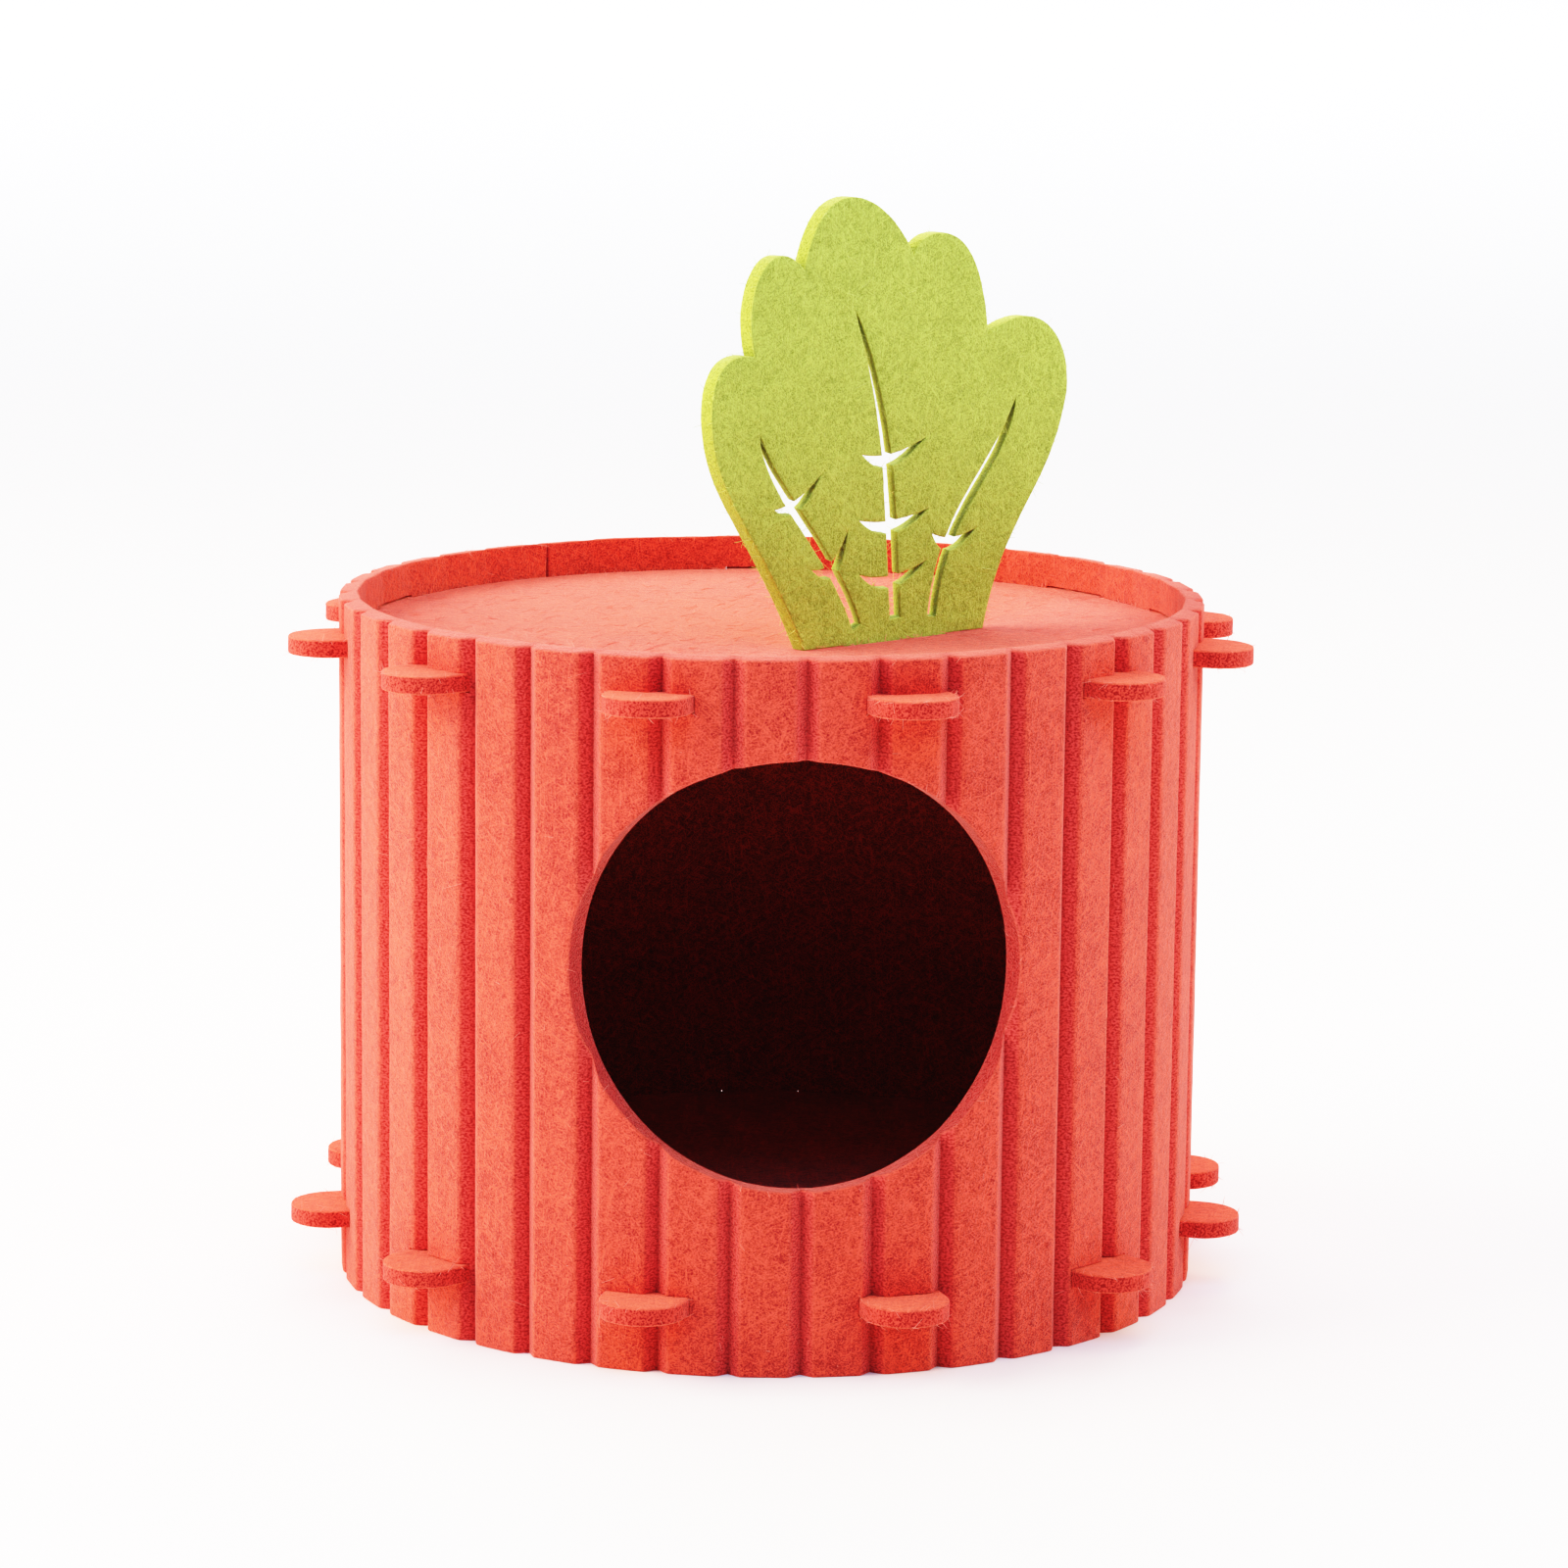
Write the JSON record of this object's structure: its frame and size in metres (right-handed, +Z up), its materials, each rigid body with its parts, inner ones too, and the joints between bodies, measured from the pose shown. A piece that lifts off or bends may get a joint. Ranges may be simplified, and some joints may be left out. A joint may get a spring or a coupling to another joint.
{
  "type": "small animal hideout",
  "caption": "Round felt hideout for a small pet: ribbed drum wall with a round door, lid and floor discs held by tabs through slots, and an upright leaf on the lid.",
  "frame": {"origin": "middle of the drum's round footprint, on the surface that the drum stands on", "axes": "+Z up, the drum's axis; -Y out through the middle of the door; +X to the right when looking in at the door"},
  "size_m": [0.2773, 0.2763, 0.3157],
  "materials": {
    "red_felt": "matte",
    "green_felt": "matte"
  },
  "bodies": {
    "root": {"wall": "red_felt", "lid": "red_felt", "floor": "red_felt", "leaf": "green_felt"}
  },
  "joints": []
}
